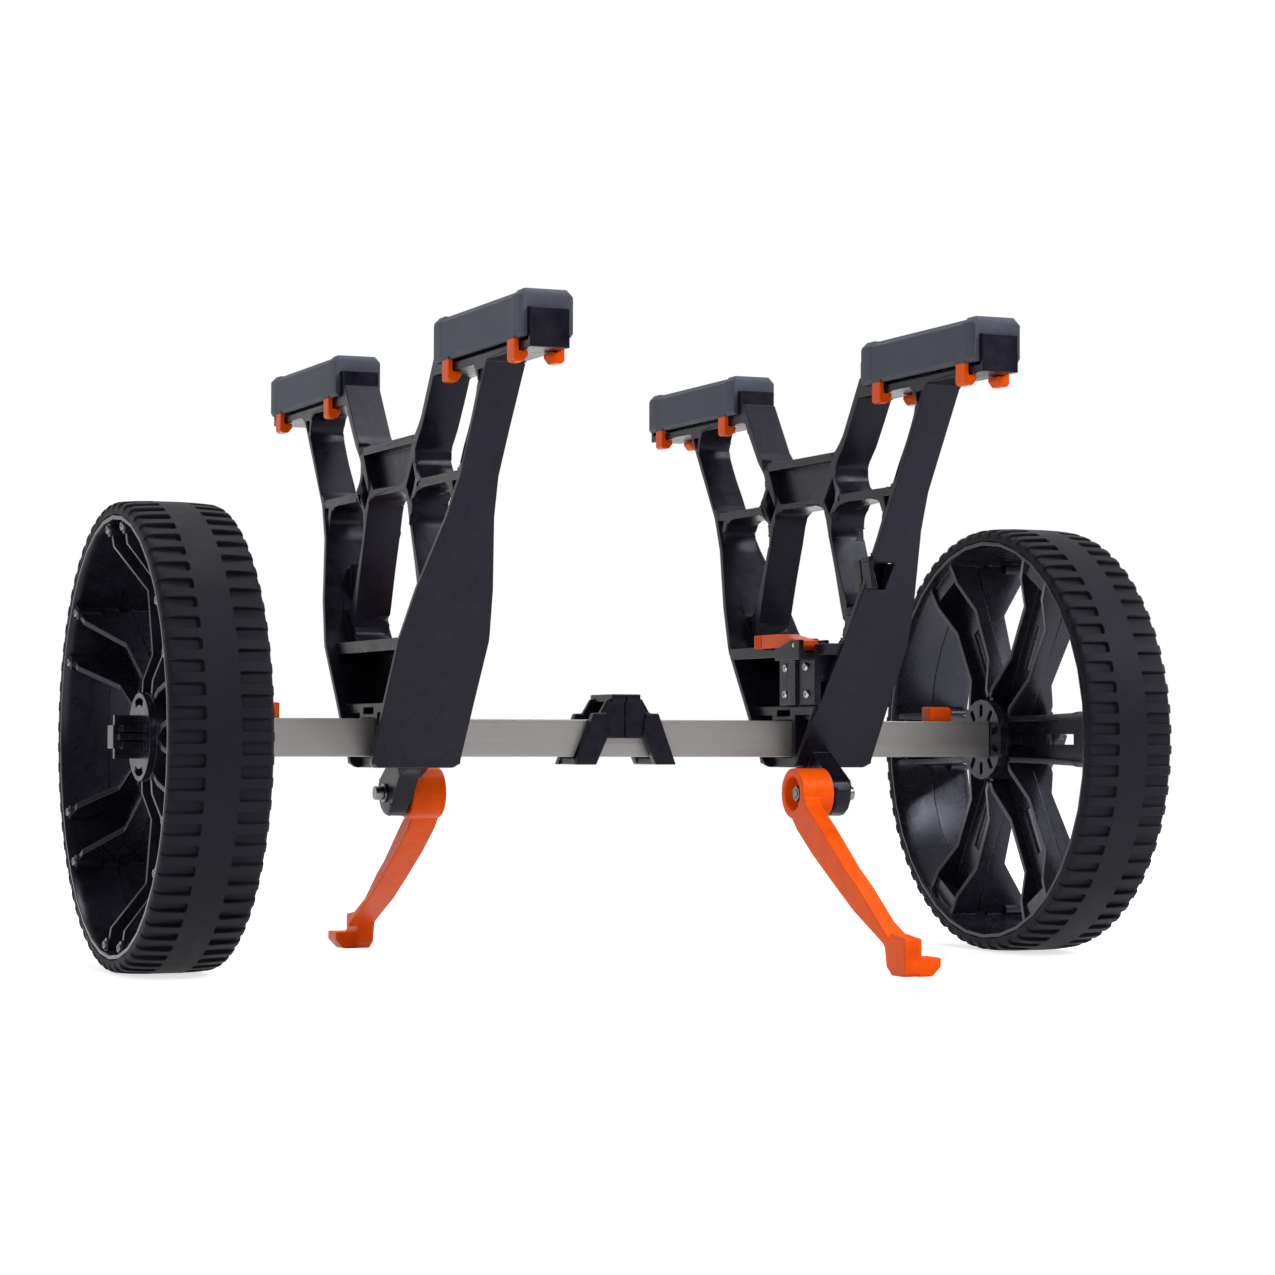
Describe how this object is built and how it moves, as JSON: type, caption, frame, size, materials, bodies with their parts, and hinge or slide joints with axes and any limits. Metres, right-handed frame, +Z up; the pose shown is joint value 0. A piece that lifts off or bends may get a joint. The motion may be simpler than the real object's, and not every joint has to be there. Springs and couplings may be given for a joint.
{
  "type": "kayak cart",
  "caption": "Two-wheeled cart with a square axle tube, sliding padded cradles, folding kickstands, clamp levers and push-button wheels.",
  "frame": {"origin": "on the ground under the middle of the axle", "axes": "+X along the axle towards the right wheel, +Y away from the viewer along the direction of travel, +Z up"},
  "size_m": [0.7052, 0.527, 0.4199],
  "materials": {
    "anodised_tube": "satin anodised",
    "frame_plastic": "fine moulded grain",
    "wheel_plastic": "satin moulded",
    "tyre_rubber": "matt rubber",
    "pad_foam": "soft matt skin",
    "orange_plastic": "satin moulded",
    "bright_steel": "zinc plated"
  },
  "bodies": {
    "axle": {"axle_tube": "anodised_tube", "right_stub_axle": "bright_steel", "right_hub_collar": "frame_plastic", "right_button_spring": "bright_steel", "right_saddle_half": "frame_plastic", "left_stub_axle": "bright_steel", "left_hub_collar": "frame_plastic", "left_button_spring": "bright_steel", "left_saddle_half": "frame_plastic"},
    "right_wheel": {"right_tyre": "tyre_rubber", "right_rim_outer_half": "wheel_plastic", "right_rim_inner_half": "wheel_plastic", "right_hub_bush": "bright_steel", "right_hub_cap": "wheel_plastic"},
    "right_button": {"right_release_button": "orange_plastic"},
    "right_frame": {"right_support_frame": "frame_plastic", "right_pad_a": "pad_foam", "right_pad_a_clip_1": "orange_plastic", "right_pad_a_clip_2": "orange_plastic", "right_pad_b": "pad_foam", "right_pad_b_clip_1": "orange_plastic", "right_pad_b_clip_2": "orange_plastic", "right_lock_housing": "frame_plastic", "right_lever_pin": "bright_steel", "right_lock_screw_1": "bright_steel", "right_lock_screw_2": "bright_steel", "right_lock_screw_3": "bright_steel", "right_lock_screw_4": "bright_steel", "right_kickstand_bolt": "bright_steel", "right_kickstand_washer": "bright_steel", "right_kickstand_nut": "bright_steel"},
    "right_stand": {"right_kickstand": "orange_plastic"},
    "right_lever": {"right_lock_lever": "orange_plastic"},
    "right_shoe": {"right_clamp_shoe": "frame_plastic"},
    "left_wheel": {"left_tyre": "tyre_rubber", "left_rim_outer_half": "wheel_plastic", "left_rim_inner_half": "wheel_plastic", "left_hub_bush": "bright_steel", "left_hub_cap": "wheel_plastic"},
    "left_button": {"left_release_button": "orange_plastic"},
    "left_frame": {"left_support_frame": "frame_plastic", "left_pad_a": "pad_foam", "left_pad_a_clip_1": "orange_plastic", "left_pad_a_clip_2": "orange_plastic", "left_pad_b": "pad_foam", "left_pad_b_clip_1": "orange_plastic", "left_pad_b_clip_2": "orange_plastic", "left_lock_housing": "frame_plastic", "left_lever_pin": "bright_steel", "left_lock_screw_1": "bright_steel", "left_lock_screw_2": "bright_steel", "left_lock_screw_3": "bright_steel", "left_lock_screw_4": "bright_steel", "left_kickstand_bolt": "bright_steel", "left_kickstand_washer": "bright_steel", "left_kickstand_nut": "bright_steel"},
    "left_stand": {"left_kickstand": "orange_plastic"},
    "left_lever": {"left_lock_lever": "orange_plastic"},
    "left_shoe": {"left_clamp_shoe": "frame_plastic"}
  },
  "joints": [
    {"name": "right_wheel_spin", "type": "hinge", "parent": "axle", "child": "right_wheel", "pos_m": [0.31965, 0, 0.1524], "axis": [1, 0, 0], "continuous": true},
    {"name": "right_button_press", "type": "slide", "parent": "axle", "child": "right_button", "axis": [0, 0, -1], "range_m": [0, 0.004], "stiffness_N_per_m": 500, "springref_m": -0.004, "deforming": ["right_button_spring"]},
    {"name": "right_frame_slide", "type": "slide", "parent": "axle", "child": "right_frame", "axis": [1, 0, 0], "range_m": [-0.07, 0.055]},
    {"name": "right_stand_fold", "type": "hinge", "parent": "right_frame", "child": "right_stand", "pos_m": [0.118, -0.048, 0.1148], "axis": [-1, 0, 0], "range_deg": [0, 101]},
    {"name": "right_lever_lift", "type": "hinge", "parent": "right_frame", "child": "right_lever", "pos_m": [0.1225, -0.05, 0.2164], "axis": [1, 0, 0], "range_deg": [0, 14]},
    {"name": "right_shoe_lift", "type": "slide", "parent": "right_frame", "child": "right_shoe", "axis": [0, 0, 1], "range_m": [0, 0.0062]},
    {"name": "left_wheel_spin", "type": "hinge", "parent": "axle", "child": "left_wheel", "pos_m": [-0.31965, 0, 0.1524], "axis": [1, 0, 0], "continuous": true},
    {"name": "left_button_press", "type": "slide", "parent": "axle", "child": "left_button", "axis": [0, 0, -1], "range_m": [0, 0.004], "stiffness_N_per_m": 500, "springref_m": -0.004, "deforming": ["left_button_spring"]},
    {"name": "left_frame_slide", "type": "slide", "parent": "axle", "child": "left_frame", "axis": [-1, 0, 0], "range_m": [-0.07, 0.055]},
    {"name": "left_stand_fold", "type": "hinge", "parent": "left_frame", "child": "left_stand", "pos_m": [-0.118, 0.048, 0.1148], "axis": [1, 0, 0], "range_deg": [0, 101]},
    {"name": "left_lever_lift", "type": "hinge", "parent": "left_frame", "child": "left_lever", "pos_m": [-0.1225, 0.05, 0.2164], "axis": [-1, 0, 0], "range_deg": [0, 14]},
    {"name": "left_shoe_lift", "type": "slide", "parent": "left_frame", "child": "left_shoe", "axis": [0, 0, 1], "range_m": [0, 0.0062]}
  ],
  "couplings": [
    {"joint": "right_shoe_lift", "follows": "right_lever_lift", "m_per_rad": 0.025},
    {"joint": "left_shoe_lift", "follows": "left_lever_lift", "m_per_rad": 0.025}
  ]
}
